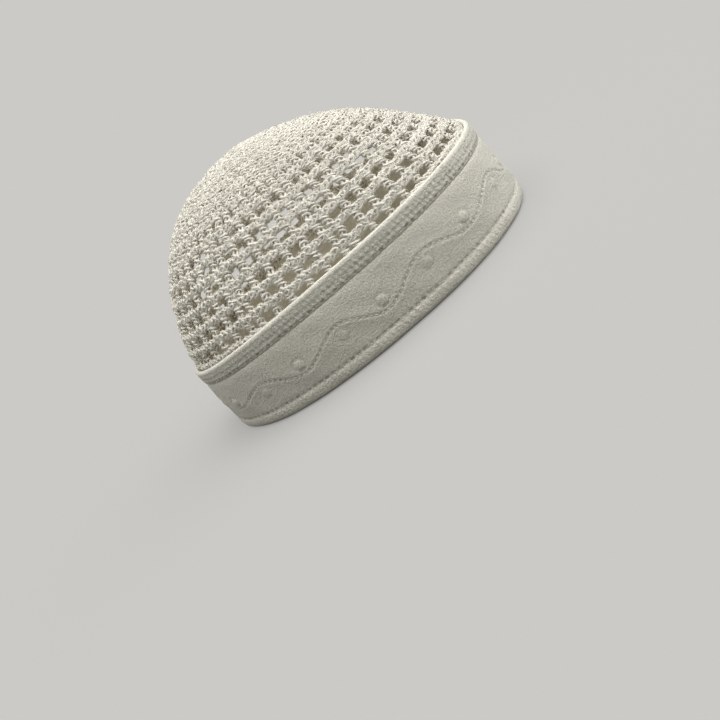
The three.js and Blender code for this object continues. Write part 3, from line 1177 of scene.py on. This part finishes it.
def thread_finish():
    """Spun sewing thread of the cloth's own colour, a little shinier."""
    material, tree, shader = finish_material("sewing_thread")
    fibre = noise(tree, place_in_space(tree), scale=2500, detail=2)
    fill_in(tree, shader, {
        "Base Color": colour_range(tree, fibre, 0.3, 0.7, *THREAD_COLOURS),
        "Normal": bumps(tree, fibre, distance=0.0001, strength=0.5),
        "Roughness": 0.55,
        "Sheen Weight": 0.2,
    })
    return material


def fibre_finish():
    """Single loose fibres of the yarn."""
    material, tree, shader = finish_material("loose_fibre")
    patches = noise(tree, place_in_space(tree), scale=800, detail=2)
    fill_in(tree, shader, {
        "Base Color": colour_range(tree, patches, 0.35, 0.65, *FIBRE_COLOURS),
        "Roughness": 0.6,
        "Sheen Weight": 0.5,
    })
    return material


def dress(piece, material, node):
    """Gives a piece its finish, hangs it from the root, and hides the solid it stands for."""
    piece.data.materials.clear()
    piece.data.materials.append(material)
    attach(piece, "root")
    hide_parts(node)


# Stage

def set_camera():
    camera = bpy.data.objects.new("camera", bpy.data.cameras.new("camera"))
    bpy.context.scene.collection.objects.link(camera)
    camera.data.sensor_width = 36
    camera.data.lens = CAMERA_LENS
    camera.data.clip_start = 0.01
    camera.data.clip_end = 20
    right = CAMERA_RIGHT.normalized()
    back = right.cross(CAMERA_UP).normalized()
    axes = Matrix((right, back.cross(right), back)).transposed()
    camera.matrix_world = Matrix.Translation(CAMERA_PLACE) @ axes.to_4x4()
    bpy.context.scene.camera = camera


def camera_only(tree):
    """1 for what the camera sees straight on, and 0 for light that reaches the cap."""
    return made(tree, "LightPath", {}).outputs["Is Camera Ray"]


def floor_finish():
    """An even floor to the camera, which runs on into the backdrop.

    To the light that reaches the cap it is another one, pale and glowing under the cap and dark around it.
    """
    material, tree, shader = finish_material("floor")
    away = worked_out(tree, "VectorMath", "LENGTH", place_in_space(tree))["Value"]
    around = faded(tree, away, *UNDER_EDGE)
    bounce = colour_range(tree, around, 0, 1, PALE_UNDER, DARK_AROUND)
    glow = faded(tree, away, *UNDER_EDGE, UNDER_GLOW, 0.0)
    seen = camera_only(tree)
    fill_in(tree, shader, {
        "Base Color": mixed(tree, "RGBA", seen, bounce, (*FLOOR_COLOUR, 1)),
        "Emission Color": mixed(tree, "RGBA", seen, (*UNDER_COLOUR, 1), BACKDROP["Color"]),
        "Emission Strength": mixed(tree, "FLOAT", seen, glow, FLOOR_GLOW),
        "Roughness": 0.9,
        "Specular IOR Level": 0.0,
    })
    far = faded(tree, away, *BACKDROP_EDGE, smooth=True)
    surface = mixed_shaders(tree, far, shader, made(tree, "Emission", BACKDROP))
    fill_in(tree, tree.nodes["Material Output"], {"Surface": surface})
    return material


def lay_floor():
    floor = added(
        bpy.ops.mesh.primitive_circle_add,
        vertices=96, radius=FLOOR_RADIUS, fill_type="NGON", location=(0, 0, -FLOOR_DROP),
    )
    floor.name = "floor"
    floor.data.materials.append(floor_finish())


def hang_lamp(name, energy, spread, way):
    """A large soft lamp that shines on the cap from some way."""
    light = bpy.data.objects.new(name, bpy.data.lights.new(name, "SUN"))
    bpy.context.scene.collection.objects.link(light)
    light.data.energy = energy
    light.data.angle = math.radians(spread)
    light.data.color = LAMP_COLOUR
    light.rotation_mode = "QUATERNION"
    light.rotation_quaternion = Vector(way).to_track_quat("Z", "Y")


def light_room():
    """Soft light all round, a large lamp high over the front of the cap, and one overhead."""
    world = bpy.data.worlds.new("room")
    bpy.context.scene.world = world
    world.use_nodes = True
    tree = world.node_tree
    room = tree.nodes["Background"]
    fill_in(tree, room, {"Color": (*ROOM_COLOUR, 1), "Strength": ROOM_GLOW})
    surface = mixed_shaders(tree, camera_only(tree), room, made(tree, "Background", BACKDROP))
    fill_in(tree, tree.nodes["World Output"], {"Surface": surface})
    for one in LAMPS:
        hang_lamp(**one)


def plain_picture():
    """A picture whose colours are left as they are rendered."""
    picture = bpy.context.scene.view_settings
    picture.view_transform = "Standard"
    picture.look = "None"
    picture.exposure = 0
    picture.gamma = 1


set_camera()
lay_floor()
light_room()
plain_picture()

yarn = yarn_finish()
fleece = cloth_finish()
thread = thread_finish()

crochet_pieces = crochet()
for crochet_piece in crochet_pieces:
    dress(crochet_piece, yarn, "crochet_crown")
dress(loose_fibres(crochet_pieces), fibre_finish(), "crochet_crown")

band = cloth_loop("quilted_band", BAND_SECTION, BAND_MESH, band_relief, band_painted_shade)
dress(band, fleece, "band")
binding = cloth_loop("folded_binding", BINDING_SECTION, BINDING_MESH, binding_relief, binding_painted_shade)
dress(binding, fleece, "top_binding")
dress(sew_thread(), thread, "band")
